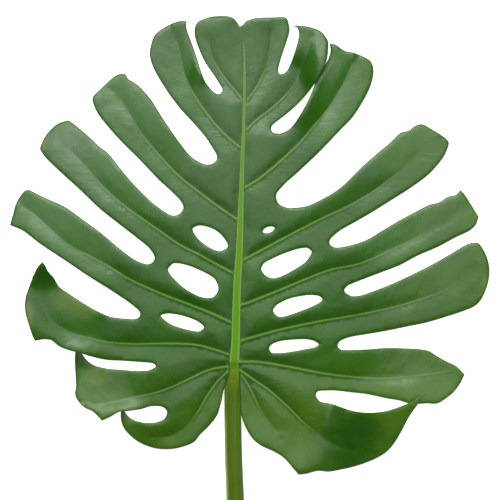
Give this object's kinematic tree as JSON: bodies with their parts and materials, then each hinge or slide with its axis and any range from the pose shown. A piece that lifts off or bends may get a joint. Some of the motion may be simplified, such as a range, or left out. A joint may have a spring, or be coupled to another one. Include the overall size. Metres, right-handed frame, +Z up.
{
  "type": "monstera leaf",
  "caption": "Cut monstera leaf laid face up: a broad waved heart-shaped blade with deep slits, holes and ribs, on a round stalk that runs on as the midrib.",
  "frame": {"origin": "on the flat underside of the stalk, right below the place where it meets the blade, on the surface the leaf lies on", "axes": "+Y along the midrib towards the leaf's tip, +X to the right as seen from above, +Z up out of the leaf's upper face"},
  "size_m": [0.386, 0.5448, 0.0289],
  "materials": {
    "leaf_blade": "satin dark green leaf skin with paler veins",
    "leaf_stalk": "satin yellow-green stalk, browner at the knee"
  },
  "bodies": {
    "root": {"blade": "leaf_blade", "stalk_midrib": "leaf_stalk"}
  },
  "joints": []
}
